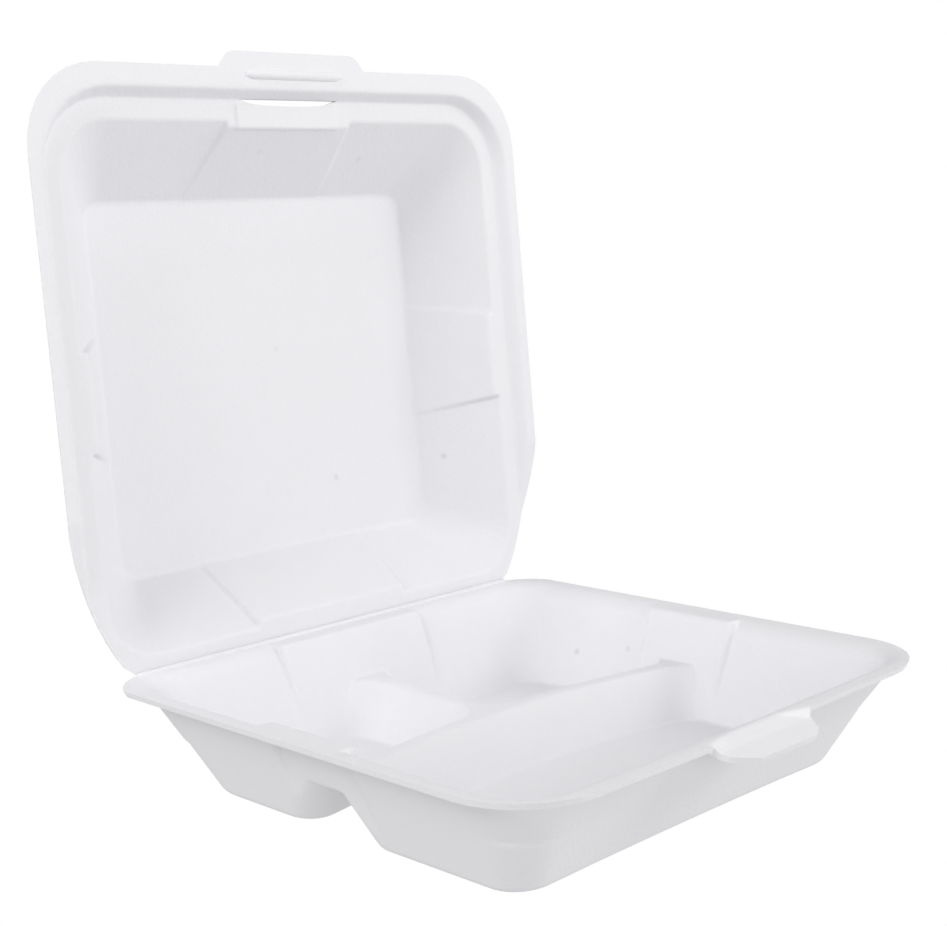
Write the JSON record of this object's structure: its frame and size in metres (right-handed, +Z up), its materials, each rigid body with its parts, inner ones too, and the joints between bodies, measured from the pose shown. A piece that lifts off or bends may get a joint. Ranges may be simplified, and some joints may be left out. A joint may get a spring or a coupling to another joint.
{
  "type": "foam clamshell container",
  "caption": "Hinged foam takeaway container with a divided tray, a locking tongue on the rim and a deep lid standing open",
  "frame": {"origin": "on the surface that the tray stands on, under the middle of the tray's rim", "axes": "+X to the container's right, -Y out of its front, where the tongue is, +Z up"},
  "size_m": [0.242, 0.2625, 0.2667],
  "materials": {
    "foam": "white moulded foam sheet with a satin skin"
  },
  "bodies": {
    "tray": {"tray": "foam"},
    "lid": {"lid": "foam"}
  },
  "joints": [
    {"name": "fold", "type": "hinge", "parent": "tray", "child": "lid", "pos_m": [0, 0.104, 0.04], "axis": [-1, 0, 0], "range_deg": [-94.3, 85.7]}
  ]
}
